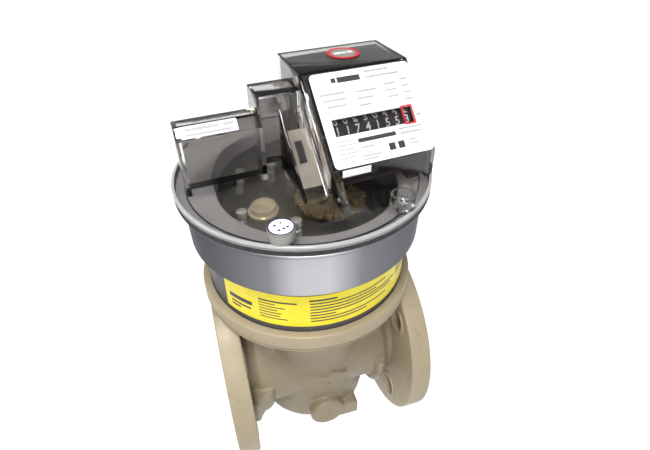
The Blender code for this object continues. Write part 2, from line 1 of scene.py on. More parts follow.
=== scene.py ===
"""Looks of the turbine gas meter: smooth turned and cast shapes, materials, print and light."""
from math import cos, pi, radians, sin, sqrt, tau

import bmesh
import bpy
from mathutils import Matrix, Vector, noise

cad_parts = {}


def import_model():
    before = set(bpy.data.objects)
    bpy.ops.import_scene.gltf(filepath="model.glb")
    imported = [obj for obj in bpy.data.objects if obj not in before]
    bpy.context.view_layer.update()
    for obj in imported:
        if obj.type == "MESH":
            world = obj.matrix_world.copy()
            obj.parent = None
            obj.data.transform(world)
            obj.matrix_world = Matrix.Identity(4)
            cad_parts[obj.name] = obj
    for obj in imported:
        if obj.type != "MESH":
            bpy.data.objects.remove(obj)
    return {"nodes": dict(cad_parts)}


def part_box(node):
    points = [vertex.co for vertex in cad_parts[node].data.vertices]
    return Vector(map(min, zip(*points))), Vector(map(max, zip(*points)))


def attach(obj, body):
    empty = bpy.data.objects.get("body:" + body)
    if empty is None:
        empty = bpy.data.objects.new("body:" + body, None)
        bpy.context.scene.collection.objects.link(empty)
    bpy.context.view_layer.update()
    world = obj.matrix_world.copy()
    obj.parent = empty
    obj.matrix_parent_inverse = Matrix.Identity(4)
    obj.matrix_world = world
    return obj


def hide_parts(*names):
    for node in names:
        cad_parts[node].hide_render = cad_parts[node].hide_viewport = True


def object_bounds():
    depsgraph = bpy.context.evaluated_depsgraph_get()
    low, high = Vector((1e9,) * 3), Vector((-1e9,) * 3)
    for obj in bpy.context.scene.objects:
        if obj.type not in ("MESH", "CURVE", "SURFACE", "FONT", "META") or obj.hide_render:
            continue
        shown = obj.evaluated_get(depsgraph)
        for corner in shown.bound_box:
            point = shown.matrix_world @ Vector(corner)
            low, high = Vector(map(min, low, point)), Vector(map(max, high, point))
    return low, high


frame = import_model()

CAD_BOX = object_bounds()
MM = 0.001
GAP = 0.3

# The pipe axis lies one flange radius above the ground, and heights below count from it in mm.
FLANGE_R = (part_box("cast_body")[1][1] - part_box("cast_body")[0][1]) / 2 / MM
AXIS_HEIGHT = CAD_BOX[0][2] / MM + FLANGE_R
HALF_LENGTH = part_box("cast_body")[1][0] / MM
FLANGE_T = 17.0
BORE_R = 26.0
BOLT_CIRCLE_R = 62.5
BOLT_HOLE_R = 9.0
SEALING_R = 51.0
BODY_TOP = 78.0
POT_BOTTOM = -61.0
BOSS_Z = -43.0
ARROW_LIFT = 2.3
VOXEL = 1.0
RING_R = 80.3
RING_Z = (79.3, 91.2)
NECK_R = 74.0
NECK_TOP = 131.4
HEAD_YAW = radians(5.6)
DRUM_BOTTOM, DRUM_TOP = 131.8, 168.9
RIM_R = 87.3
RIM_Z = (172.2, 175.7)
WELL_CENTRE = (-1.0, -11.0)
WELL_R = 60.0
WELL_FLOOR = 148.0
SCREW_CIRCLE_R = 79.0
SCREW_ANGLES = (-119.0, -61.0, 61.0, 119.0)
WALL = 2.4
BOX_X = (-0.5, 74.4)
BOX_Y = (-45.4, 42.0)
BOX_TOP = 239.0
PLATE_C = 240.7
SLOPE_C = PLATE_C - 0.9 * sqrt(2.0)
PLATE_X = (4.8, 73.4)
PLATE_Y = (-45.6, -2.9)
WINDOW_X = (11.0, 65.6)
WINDOW_Y = (-31.5, -24.1)
DIGIT_R = 11.0
DIGIT_PITCH = 6.8
DIGITS = 8
DRUM_AXIS = (-17.3, 202.4)
PILLARS = ((-40.0, 22.0), (-15.5, 26.0), (-50.0, -25.0), (-22.0, -47.0))

# Counter window digits: height in mm, width as a share of it, and the reading shown
DIGIT_HEIGHT = 5.7
DIGIT_WIDTH = 0.85
DIGIT_BANDS = 6
DIGIT_LIFT = 0.06
WINDOW_ANGLE = pi * 0.75 + 0.14
SHOWN = (1, 1, 7, 4, 1, 5, 5, 3)

# Yellow film on the neck: azimuths in degrees, then heights
LABEL_ANGLES = (-152.0, -20.0)
LABEL_Z = (96.4, 124.5)

# Left box of the cover, and the height inside the cover's plate where all boxes begin
LEFT_X = (-79.0, -27.0)
LEFT_Y = (-8.4, 8.0)
LEFT_TOP = 219.4
LEFT_C = 221.0
BOX_LOW = 172.5
CAVITY_LOW = 165.0

# Seals on the cover: the plug with its printed face, and the cups' tops
PLUG_TOP = 183.3
SEALED_CUP_TOP = 182.0
OPEN_CUP_TOP = 184.0

# Camera fitted to the outlines in the photo: degrees, mm from the pipe axis, lens in mm
CAMERA_AZIMUTH = -16.99
CAMERA_ELEVATION = 37.64
CAMERA_ROLL = -0.48
CAMERA_PLACE = (-67.4, -272.1, 339.5)
CAMERA_LENS = 26.04


# ---------------------------------------------------------------- mesh tools

def world(point, yaw=0.0):
    """Position in the shared frame, in metres, of a point in mm from the pipe axis."""
    turned_point = Matrix.Rotation(yaw, 3, "Z") @ Vector(point)
    return Vector((turned_point.x, turned_point.y, turned_point.z + AXIS_HEIGHT)) * MM


def mesh_object(name, verts, faces, yaw=0.0):
    mesh = bpy.data.meshes.new(name)
    mesh.from_pydata([world(v, yaw) for v in verts], [], faces)
    bm = bmesh.new()
    bm.from_mesh(mesh)
    bmesh.ops.recalc_face_normals(bm, faces=bm.faces)
    bm.to_mesh(mesh)
    bm.free()
    obj = bpy.data.objects.new(name, mesh)
    bpy.context.scene.collection.objects.link(obj)
    return obj


def rounded_outline(points, default=0.6, steps=3):
    """Outline with every corner of (r, z) or (r, z, radius) replaced by a small arc."""
    result = []
    count = len(points)
    for i, point in enumerate(points):
        here = Vector(point[:2])
        radius = point[2] if len(point) > 2 else default
        before = Vector(points[i - 1][:2]) - here
        after = Vector(points[(i + 1) % count][:2]) - here
        reach = min(radius, 0.45 * before.length, 0.45 * after.length)
        if here.x == 0 or reach <= 0.01:
            result.append(tuple(here))
            continue
        start = here + before.normalized() * reach
        end = here + after.normalized() * reach
        for k in range(steps + 1):
            t = k / steps
            spot = start * (1 - t) ** 2 + here * 2 * t * (1 - t) + end * t ** 2
            result.append(tuple(spot))
    return result


def lathe(name, outline, segments=160, axis="Z", centre=(0, 0, 0), yaw=0.0):
    """Solid of revolution of a closed outline of (radius, height) points in mm."""
    verts, rings = [], []
    for radius, height in outline:
        ring = []
        for k in range(1 if radius == 0 else segments):
            angle = tau * k / segments
            a, b = radius * cos(angle), radius * sin(angle)
            point = {"Z": (a, b, height), "X": (height, a, b), "Y": (b, height, a)}[axis]
            ring.append(len(verts))
            verts.append(tuple(p + c for p, c in zip(point, centre)))
        rings.append(ring)
    faces = []
    for i, low in enumerate(rings):
        high = rings[(i + 1) % len(rings)]
        for k in range(segments):
            quad = [low[k % len(low)], low[(k + 1) % len(low)],
                    high[(k + 1) % len(high)], high[k % len(high)]]
            corners = list(dict.fromkeys(quad))
            if len(corners) > 2:
                faces.append(corners)
    return mesh_object(name, verts, faces, yaw)


def cylinder(name, radius, low, high, axis="Z", centre=(0, 0, 0), segments=64, yaw=0.0):
    outline = [(0, low), (radius, low), (radius, high), (0, high)]
    return lathe(name, outline, segments, axis, centre, yaw)


def prism(name, outline, low, high, axis="X", yaw=0.0):
    """Outline extruded along an axis: (y, z) for X, (x, z) for Y and (x, y) for Z."""
    place = {"X": lambda a, b, h: (h, a, b), "Y": lambda a, b, h: (a, h, b),
             "Z": lambda a, b, h: (a, b, h)}[axis]
    count = len(outline)
    verts = [place(a, b, h) for h in (low, high) for a, b in outline]
    faces = [list(range(count)), [count + i for i in range(count)]]
    for i in range(count):
        j = (i + 1) % count
        faces.append([i, j, count + j, count + i])
    return mesh_object(name, verts, faces, yaw)


def apply_modifiers(obj):
    bpy.context.view_layer.update()
    evaluated = obj.evaluated_get(bpy.context.evaluated_depsgraph_get())
    mesh = bpy.data.meshes.new_from_object(evaluated)
    obj.modifiers.clear()
    obj.data = mesh
    return obj


def boolean(target, operation, *tools):
    for tool in tools:
        modifier = target.modifiers.new("step", "BOOLEAN")
        modifier.operation = operation
        modifier.solver = "EXACT"
        modifier.object = tool
        apply_modifiers(target)
        bpy.data.objects.remove(tool, do_unlink=True)
    return target


def bevelled(obj, width, angle=30):
    modifier = obj.modifiers.new("bevel", "BEVEL")
    modifier.width = width * MM
    modifier.segments = 2
    modifier.limit_method = "ANGLE"
    modifier.angle_limit = radians(angle)
    modifier.harden_normals = False
    return apply_modifiers(obj)


def joined(name, objects):
    """One object made of several, which are deleted."""
    bm = bmesh.new()
    for obj in objects:
        bm.from_mesh(obj.data)
        bpy.data.objects.remove(obj, do_unlink=True)
    mesh = bpy.data.meshes.new(name)
    bm.to_mesh(mesh)
    bm.free()
    obj = bpy.data.objects.new(name, mesh)
    bpy.context.scene.collection.objects.link(obj)
    return obj


def finish_piece(obj, body, material, replaces=(), smooth_angle=35):
    obj.data.materials.clear()
    obj.data.materials.append(material)
    obj.data.shade_smooth()
    obj.data.set_sharp_from_angle(angle=radians(smooth_angle))
    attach(obj, body)
    if replaces:
        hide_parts(*replaces)
    return obj


# ---------------------------------------------------------------- materials

class Shader:
    """A Principled material with helpers for procedural detail in object space."""

    def __init__(self, name, colour, roughness=0.5, metallic=0.0, **constants):
        self.material = bpy.data.materials.new(name)
        self.material.use_nodes = True
        self.tree = self.material.node_tree
        self.shader = self.tree.nodes["Principled BSDF"]
        self.shader.inputs["Base Color"].default_value = (*colour, 1)
        self.shader.inputs["Roughness"].default_value = roughness
        self.shader.inputs["Metallic"].default_value = metallic
        for key, value in constants.items():
            self.shader.inputs[key.replace("_", " ")].default_value = value
        self.coordinates = self.tree.nodes.new("ShaderNodeTexCoord")

    def node(self, kind, **settings):
        made = self.tree.nodes.new(kind)
        for key, value in settings.items():
            setattr(made, key, value)
        return made

    def link(self, source, target):
        self.tree.links.new(source, target)

    def position(self, scale=(1, 1, 1)):
        mapping = self.node("ShaderNodeMapping")
        mapping.inputs["Scale"].default_value = scale
        self.link(self.coordinates.outputs["Object"], mapping.inputs["Vector"])
        return mapping.outputs["Vector"]

    def noise(self, scale, detail=3.0, roughness=0.55, stretch=(1, 1, 1)):
        made = self.node("ShaderNodeTexNoise")
        made.inputs["Scale"].default_value = scale
        made.inputs["Detail"].default_value = detail
        made.inputs["Roughness"].default_value = roughness
        self.link(self.position(stretch), made.inputs["Vector"])
        return made.outputs["Fac"]

    def axis(self, letter):
        split = self.node("ShaderNodeSeparateXYZ")
        self.link(self.position(), split.inputs["Vector"])
        return split.outputs[letter]

    def ramp(self, source, stops):
        made = self.node("ShaderNodeValToRGB")
        elements = made.color_ramp.elements
        for element, (place, colour) in zip(elements, stops):
            element.position, element.color = place, (*colour, 1)
        for place, colour in stops[2:]:
            elements.new(place).color = (*colour, 1)
        self.link(source, made.inputs["Fac"])
        return made.outputs["Color"]

    def level(self, source, low, high, to_low, to_high):
        made = self.node("ShaderNodeMapRange")
        for key, value in (("From Min", low), ("From Max", high),
                           ("To Min", to_low), ("To Max", to_high)):
            made.inputs[key].default_value = value
        self.link(source, made.inputs["Value"])
        return made.outputs["Result"]

    def mix(self, factor, first, second):
        """Blend of two colours, each a socket or a plain colour."""
        made = self.node("ShaderNodeMix", data_type="RGBA")
        self.link(factor, made.inputs["Factor"])
        for key, value in (("A", first), ("B", second)):
            socket = [s for s in made.inputs if s.name == key and s.type == "RGBA"][0]
            if isinstance(value, tuple):
                socket.default_value = (*value, 1)
            else:
                self.link(value, socket)
        return [s for s in made.outputs if s.type == "RGBA"][0]

    def colour(self, socket):
        self.link(socket, self.shader.inputs["Base Color"])
        return self

    def roughness(self, socket):
        self.link(socket, self.shader.inputs["Roughness"])
        return self

    def bump(self, *layers):
        """Chained bumps of (height socket, distance in mm, strength)."""
        normal = None
        for height, distance, strength in layers:
            made = self.node("ShaderNodeBump")
            made.inputs["Distance"].default_value = distance * MM
            made.inputs["Strength"].default_value = strength
            self.link(height, made.inputs["Height"])
            if normal is not None:
                self.link(normal, made.inputs["Normal"])
            normal = made.outputs["Normal"]
        self.link(normal, self.shader.inputs["Normal"])
        return self


def cream_paint(name, grain, shaded=False):
    """Thick cream enamel, a little uneven, with small dark chips; with painted shade low down if
    shaded.
    """
    look = Shader(name, (0.30, 0.25, 0.17), 0.45, Specular_IOR_Level=0.4)
    broad = look.noise(14.0, 4.0)
    tone = look.ramp(broad, [(0.3, (0.275, 0.228, 0.148)), (0.7, (0.335, 0.282, 0.190))])
    fine = look.noise(160.0, 4.0, 0.6)
    dirt = look.level(fine, 0.60, 0.78, 0.0, 0.55)
    dust_and_low_shade = look.mix(dirt, tone, (0.20, 0.16, 0.105))
    if shaded:
        # Painted shade: the cast paint gets darker towards the bottom of the body.
        painted_low_shade = look.level(look.axis("Z"), 0.060, 0.165, 0.45, 0.0)
        dust_and_low_shade = look.mix(painted_low_shade, dust_and_low_shade, (0.12, 0.095, 0.065))
    chips = look.level(look.noise(105.0, 5.0, 0.62), 0.735, 0.75, 0.0, 1.0)
    look.colour(look.mix(chips, dust_and_low_shade, (0.055, 0.04, 0.03)))
    look.roughness(look.level(look.noise(60.0), 0.3, 0.7, 0.36, 0.58))
    look.bump((look.noise(350.0, 5.0, 0.6), 0.25, grain),
              (look.noise(60.0, 3.0), 0.8, 0.25 * grain),
              (look.level(chips, 0.0, 1.0, 1.0, 0.0), 0.25, 0.6))
    return look.material


def turned_aluminium():
    """Anodised aluminium with fine level grooves, a painted highlight across the drum's front and
    painted shade towards its sides.
    """
    look = Shader("turned_aluminium", (0.27, 0.275, 0.30), 0.4, 0.8,
                  Specular_Tint=(0.55, 0.55, 0.58, 1.0))
    grooves = look.noise(1.0, 2.0, 0.7, (1.0, 1.0, 2600))
    lines = look.ramp(grooves, [(0.3, (0.245, 0.25, 0.275)), (0.7, (0.30, 0.305, 0.33))])
    cloudy = look.level(look.noise(22.0, 3.0), 0.35, 0.75, 0.0, 0.25)
    brushed = look.mix(cloudy, lines, (0.33, 0.33, 0.35))
    # Painted highlight at the drum's front and painted shade towards its sides, set by the X
    # position.
    across = look.level(look.axis("X"), -0.085, 0.085, 0.0, 1.0)
    brightness = ((0.0, 0.0), (0.05, 0.06), (0.18, 0.45), (0.34, 0.95),
                  (0.46, 1.0), (0.62, 0.6), (0.85, 0.25), (1.0, 0.1))
    painted_sheen = look.ramp(across, [(place, (value, value, value)) for place, value in brightness])
    brushed_with_painted_shade = look.mix(painted_sheen, (0.05, 0.052, 0.058), brushed)
    look.colour(look.mix(look.level(painted_sheen, 0.7, 1.0, 0.0, 0.55), brushed_with_painted_shade, (0.66, 0.66, 0.69)))
    look.roughness(look.level(grooves, 0.3, 0.7, 0.36, 0.5))
    look.bump((grooves, 0.02, 0.4))
    return look.material


def dark_paint():
    look = Shader("dark_neck_paint", (0.085, 0.085, 0.09), 0.42, 0.6)
    tones = [(0.3, (0.07, 0.07, 0.075)), (0.7, (0.11, 0.11, 0.115))]
    look.colour(look.ramp(look.noise(40.0, 4.0), tones))
    look.roughness(look.level(look.noise(200.0), 0.3, 0.7, 0.34, 0.5))
    look.bump((look.noise(420.0, 4.0), 0.12, 0.35))
    return look.material


def metal(name, dark, light, roughness, scale=90.0):
    """Machined metal with a faint cloudy variation and fine tool marks."""
    look = Shader(name, light, roughness, 1.0)
    look.colour(look.ramp(look.noise(scale, 4.0), [(0.3, dark), (0.7, light)]))
    look.roughness(look.level(look.noise(3 * scale), 0.3, 0.7, 0.7 * roughness, 1.3 * roughness))
    look.bump((look.noise(1.0, 2.0, 0.6, (900, 900, 1800)), 0.03, 0.3))
    return look.material


def plain_plastic(name, colour, roughness=0.45, grain=0.2, **constants):
    """Moulded plastic or print with slight unevenness of tone and sheen."""
    look = Shader(name, colour, roughness, **constants)
    darker = tuple(0.86 * c for c in colour)
    look.colour(look.ramp(look.noise(70.0, 4.0), [(0.3, darker), (0.7, colour)]))
    look.roughness(look.level(look.noise(160.0), 0.3, 0.7, 0.8 * roughness, 1.2 * roughness))
    look.bump((look.noise(600.0, 3.0), 0.06, grain))
    return look.material


def rubber(name, colour):
    look = Shader(name, colour, 0.55)
    look.roughness(look.level(look.noise(300.0), 0.3, 0.7, 0.42, 0.7))
    look.bump((look.noise(500.0, 4.0), 0.08, 0.4))
    return look.material


def smoked_plastic(name, tint, roughness=0.03):
    """Clear moulded plastic, slightly smoked, with faint scratches and dust."""
    look = Shader(name, tint, roughness, IOR=1.47, Transmission_Weight=1.0)
    look.roughness(look.level(look.noise(45.0, 5.0, 0.7), 0.45, 0.75, roughness, roughness + 0.12))
    look.bump((look.noise(18.0, 2.0), 0.25, 0.06),
              (look.noise(1.0, 3.0, 0.7, (700, 90, 120)), 0.02, 0.12))
    return look.material


def make_materials():
    return {
        "cast": cream_paint("cream_cast_paint", 0.75, True),
        "cream": cream_paint("cream_smooth_paint", 0.22),
        "aluminium": turned_aluminium(),
        "neck": dark_paint(),
        "steel": metal("bright_steel", (0.42, 0.42, 0.43), (0.62, 0.62, 0.63), 0.24),
        "post": plain_plastic("polished_post", (0.72, 0.71, 0.68), 0.22, 0.1, Metallic=0.45),
        "matt_alloy": plain_plastic("matt_alloy_face", (0.50, 0.50, 0.52), 0.42, 0.1,
                                    Metallic=0.25),
        "alloy": metal("cast_alloy", (0.30, 0.30, 0.30), (0.42, 0.42, 0.42), 0.5),
        "brass": plain_plastic("machined_brass", (0.62, 0.50, 0.28), 0.28, 0.1, Metallic=0.8),
        "pale_brass": plain_plastic("pale_brass", (0.88, 0.80, 0.58), 0.22, 0.1, Metallic=0.5),
        "bronze": plain_plastic("dark_plate", (0.075, 0.068, 0.045), 0.42, 0.3),
        "magnet": metal("magnet", (0.10, 0.10, 0.11), (0.16, 0.16, 0.17), 0.35),
        "rubber": rubber("black_rubber", (0.012, 0.012, 0.013)),
        "clear": smoked_plastic("smoked_cover", (0.90, 0.88, 0.86)),
        "edge": plain_plastic("ground_edge", (0.36, 0.36, 0.37), 0.2, 0.1,
                              Specular_IOR_Level=0.7),
        "clear_cup": smoked_plastic("clear_cup", (0.93, 0.93, 0.91)),
        "yellow": plain_plastic("yellow_film", (0.78, 0.65, 0.01), 0.36, 0.12),
        "white": plain_plastic("white_print", (0.86, 0.86, 0.89), 0.38, 0.1),
        "lilac": plain_plastic("lilac_print", (0.66, 0.64, 0.74), 0.4, 0.1),
        "ink": plain_plastic("dark_ink", (0.03, 0.03, 0.035), 0.5, 0.05),
        "faint_ink": plain_plastic("faint_ink", (0.36, 0.36, 0.38), 0.5, 0.05),
        "navy": plain_plastic("navy_ink", (0.01, 0.008, 0.10), 0.4, 0.05),
        "red": plain_plastic("red_film", (0.62, 0.02, 0.03), 0.38, 0.1),
        "grey": plain_plastic("grey_moulding", (0.24, 0.23, 0.21), 0.5, 0.25),
        "board": plain_plastic("board", (0.42, 0.38, 0.33), 0.5, 0.2),
        "frame": plain_plastic("dark_frame", (0.035, 0.028, 0.026), 0.5, 0.2),
        "black": plain_plastic("black_moulding", (0.014, 0.014, 0.018), 0.42, 0.2),
        "cup_grey": plain_plastic("seal_grey", (0.22, 0.22, 0.20), 0.35, 0.15),
    }


# ---------------------------------------------------------------- cast body and ring

def catmull(points, steps=6):
    """Smooth curve through (r, z) points."""
    result = []
    last = len(points) - 1
    for i in range(last):
        p0, p1, p2, p3 = (Vector(points[min(max(i + k, 0), last)]) for k in (-1, 0, 1, 2))
        for s in range(steps):
            t = s / steps
            spot = 0.5 * (2 * p1 + (p2 - p0) * t + (2 * p0 - 5 * p1 + 4 * p2 - p3) * t ** 2
                          + (3 * p1 - p0 - 3 * p2 + p3) * t ** 3)
            result.append((spot.x, spot.y))
    return result + [tuple(points[-1])]


def pot_profile(offset=0.0):
    """The pot's outside from its rim down to its bottom edge, grown outwards by an offset."""
    rim = [(79.6, 77.9), (79.6, 76.4), (77.0, 74.4)]
    side = catmull([(77.0, 74.4), (71.5, 69.0), (65.0, 66.2), (56.5, 61.5), (52.5, 53.0),
                    (51.0, 40.0), (50.2, 5.0), (49.4, -30.0), (49.0, -48.0), (48.0, -55.0),
                    (45.5, -59.0), (41.0, POT_BOTTOM)])
    return [(r + offset, z) for r, z in rim + side[1:]]


def neck(side, points):
    """Neck turned about the pipe axis from points of (radius, distance from the middle)."""
    end = HALF_LENGTH - FLANGE_T + 1.0
    outline = [(0, 20.0)] + catmull(points) + [(points[-1][0], end), (0, end)]
    return lathe("neck", [(r, side * x) for r, x in outline], 128, "X")


def swollen_neck(side, points):
    """Lower half of a neck, which swells out round the bolt circle."""
    below = [(-80.0, -90.0), (80.0, -90.0), (80.0, 3.0), (-80.0, 3.0)]
    return boolean(neck(side, points), "INTERSECT", prism("below", below, -90.0, 90.0, "Y"))


def pipe_necks():
    """Both necks and their lower swellings, which differ between inlet and outlet."""
    upper = [(47.5, 20.0), (47.5, 50.0), (47.0, 53.5), (45.5, 56.0), (44.5, 57.8)]
    inlet = [(40.0, 20.0), (40.0, 39.0), (44.0, 41.5), (50.0, 44.0), (53.5, 48.0), (54.5, 52.0),
             (58.0, 56.0), (61.0, 57.8)]
    outlet = [(40.0, 20.0), (40.0, 39.0), (46.0, 42.5), (53.0, 46.0), (54.5, 49.0), (53.0, 52.0),
              (48.0, 55.0), (44.5, 57.8)]
    return [neck(-1, upper), neck(1, upper), swollen_neck(-1, inlet), swollen_neck(1, outlet)]


def casting():
    """The pot, the necks, boss, lug and arrow as one casting with soft fillets."""
    pot = lathe("pot", [(0, BODY_TOP)] + pot_profile() + [(0, POT_BOTTOM)], 128)
    round_boss = [(0, -57.0), (13.2, -57.0), (15.0, -55.2), (15.0, -38.0), (0, -38.0)]
    boss = lathe("boss", round_boss, 64, "Y", (0, 0, BOSS_Z))
    hollow = [(0, -60.0), (8.5, -60.0), (7.8, -56.1), (0, -56.1)]
    dimple = lathe("dimple", hollow, 48, "Y", (0, 0, BOSS_Z))
    lug = prism("lug", [(12.0, -60.5), (29.5, -60.5), (29.5, -47.0), (27.0, -44.5), (12.0, -44.5)],
                -52.5, -30.0, "Y")
    arrow_outline = [(-24.0, 9.0), (-24.0, 2.0), (4.0, -4.0), (4.0, -9.5), (25.0, -3.5),
                     (4.0, 9.0), (4.0, 3.5)]
    arrow = prism("arrow", arrow_outline, -62.0, -35.0, "Y")
    side = [(r, z) for r, z in pot_profile(ARROW_LIFT) if z < 30.0]
    shell = [(0, 35.0), (53.0, 35.0)] + side + [(0, POT_BOTTOM)]
    boolean(arrow, "INTERSECT", lathe("shell", shell, 128))
    boolean(pot, "UNION", boss, lug, arrow, *pipe_necks())
    chamber = lathe("chamber", [(0, -54.0), (41.5, -54.0), (44.5, -51.0), (44.5, 70.0),
                                (67.0, 70.0), (67.0, 90.0), (0, 90.0)], 96)
    gas_way = lathe("gas_way", [(0, -90), (BORE_R, -90), (BORE_R, -60), (36.0, -44), (36.0, 44),
                                (BORE_R, 60), (BORE_R, 90), (0, 90)], 64, "X")
    above = cylinder("above", 100.0, BODY_TOP, 100.0)
    boolean(pot, "DIFFERENCE", above, chamber, gas_way, dimple)
    remesh = pot.modifiers.new("remesh", "REMESH")
    remesh.mode = "VOXEL"
    remesh.voxel_size = VOXEL * MM
    soften = pot.modifiers.new("soften", "SMOOTH")
    soften.factor = 0.5
    soften.iterations = 5
    apply_modifiers(pot)
    normals = [v.normal.copy() for v in pot.data.vertices]
    for vertex, normal in zip(pot.data.vertices, normals):
        place = vertex.co / MM
        swell = 0.35 * noise.noise(place * 0.035) + 0.10 * noise.noise(place * 0.16)
        vertex.co += normal * swell * MM
    return pot


def bolt_centre(k, x=0):
    angle = radians(45 + 90 * k)
    return (x, BOLT_CIRCLE_R * cos(angle), BOLT_CIRCLE_R * sin(angle))


def pipe_flange(side):
    """Machined flange ring with rounded rims, bolt holes and a raised sealing face."""
    inner, outer = HALF_LENGTH - FLANGE_T, HALF_LENGTH
    outline = rounded_outline([(BORE_R, inner), (FLANGE_R, inner, 1.6),
                               (FLANGE_R, outer - 1.0, 1.0), (SEALING_R, outer - 1.0, 0.3),
                               (SEALING_R, outer, 0.3), (BORE_R, outer, 0.8)])
    flange = lathe("flange", [(r, side * x) for r, x in outline], 192, "X")
    cutters = [cylinder("above", 100.0, BODY_TOP - 0.2, 100.0)]
    for k in range(4):
        centre = bolt_centre(k, side * (HALF_LENGTH - FLANGE_T / 2))
        cutters.append(cylinder("hole", BOLT_HOLE_R, -FLANGE_T, FLANGE_T, "X", centre, 48))
    boolean(flange, "DIFFERENCE", *cutters)
    return bevelled(flange, 0.5, 40)


def bolt_face(side, k):
    """Raised ring round a bolt hole on the pipe side of a flange."""
    inner = HALF_LENGTH - FLANGE_T
    near, far = BOLT_HOLE_R + 0.3, BOLT_HOLE_R + 3.2
    outline = rounded_outline([(near, inner + 0.5), (far, inner + 0.5), (far, inner - 1.0, 0.5),
                               (near, inner - 1.0, 0.3)])
    return lathe("bolt_face", [(r, side * x) for r, x in outline], 64, "X", bolt_centre(k))


def build_body(looks):
    pot = finish_piece(casting(), "meter_body", looks["cast"], ("cast_body",), 180)
    pot.name = "pot_casting"
    for side, name in ((-1, "inlet"), (1, "outlet")):
        ring = finish_piece(pipe_flange(side), "meter_body", looks["cream"])
        ring.name = name + "_flange_ring"
        faces = joined("bolt_faces", [bolt_face(side, k) for k in range(4)])
        finish_piece(faces, "meter_body", looks["cream"]).name = name + "_bolt_faces"
    low, high = RING_Z
    section = rounded_outline([(77.6, low, 0.2), (RING_R, low, 0.9), (RING_R, high, 1.4),
                               (NECK_R + GAP, high, 0.5), (NECK_R + GAP, 86.1, 0.1),
                               (77.6, 86.1, 0.1)])
    finish_piece(lathe("clamp_ring_turned", section, 192), "meter_body", looks["cream"],
                 ("clamp_ring",))
    seal = rounded_outline([(70.0, 78.3), (76.6, 78.3), (76.6, 79.2), (70.0, 79.2)], 0.3)
    finish_piece(lathe("parting_seal", seal, 160), "meter_body", looks["rubber"],
                 ("body_seal",))


def build_neck(looks):
    outline = rounded_outline([(64.0, 79.6), (77.2, 79.6), (77.2, 85.7), (NECK_R, 85.7),
                               (NECK_R, NECK_TOP, 0.8), (66.0, NECK_TOP), (66.0, 129.3),
                               (62.0, 129.3), (62.0, NECK_TOP), (60.0, NECK_TOP), (60.0, 138.6),
                               (15.5, 138.6), (15.5, 124.0), (64.0, 124.0)], 0.3, 2)
    finish_piece(lathe("neck_turned", outline, 160), "meter_body", looks["neck"],
                 ("neck_housing",))


def curved_plate(name, angles, heights, inner, outer):
    """Thin plate bent round the Z axis, between two azimuths in degrees and two heights."""
    first, last = (radians(a) for a in angles)
    steps = max(2, int(abs(last - first) / radians(2.0)) + 1)
    around = [first + (last - first) * k / steps for k in range(steps + 1)]
    outline = [(outer * cos(a), outer * sin(a)) for a in around]
    outline += [(inner * cos(a), inner * sin(a)) for a in reversed(around)]
    return prism(name, outline, *heights, "Z")


def build_label(looks):
    """Yellow film with plain bars in place of its print."""
    inner = NECK_R + GAP
    film = curved_plate("neck_film", LABEL_ANGLES, LABEL_Z, inner, inner + 0.35)
    finish_piece(film, "meter_body", looks["yellow"], ("yellow_label",))
    surface = inner + 0.36
    bars = []

    def block_of_lines(start, lengths, top, pitch, height):
        for k, length in enumerate(lengths):
            low = top - k * pitch - height
            bars.append(curved_plate("bar", (start, start + length), (low, low + height),
                                     surface, surface + 0.08))

    block_of_lines(-148.5, (15.0,), 112.0, 4.0, 3.6)
    block_of_lines(-147.5, (13.0, 6.0), 106.0, 3.2, 1.6)
    block_of_lines(-129.5, (20.0,), 118.5, 3.0, 1.3)
    block_of_lines(-129.5, (9.0, 14.0, 10.0, 12.0, 11.0, 15.0), 115.6, 2.6, 0.8)
    block_of_lines(-103.5, (14.0,), 121.0, 3.0, 1.4)
    block_of_lines(-103.0, (44.0, 37.0, 52.0, 49.0, 13.0, 45.0, 31.0), 118.0, 2.7, 0.95)
    block_of_lines(-48.0, (20.0, 16.0, 21.0, 12.0), 118.0, 2.7, 0.95)
    finish_piece(joined("label_bars", bars), "meter_body", looks["ink"])


# ---------------------------------------------------------------- index head

def screw_centres():
    angles = [radians(a) for a in SCREW_ANGLES]
    return [(SCREW_CIRCLE_R * cos(a), SCREW_CIRCLE_R * sin(a), 0) for a in angles]


def at_screws(radius, low, high, segments=24):
    """Cutters on the axes of the four cover screws."""
    return [cylinder("hole", radius, low, high, centre=c, segments=segments, yaw=HEAD_YAW)
            for c in screw_centres()]


def well_cutter(radius, low):
    centre = (*WELL_CENTRE, 0)
    return cylinder("well", radius, low, 190.0, centre=centre, segments=160, yaw=HEAD_YAW)


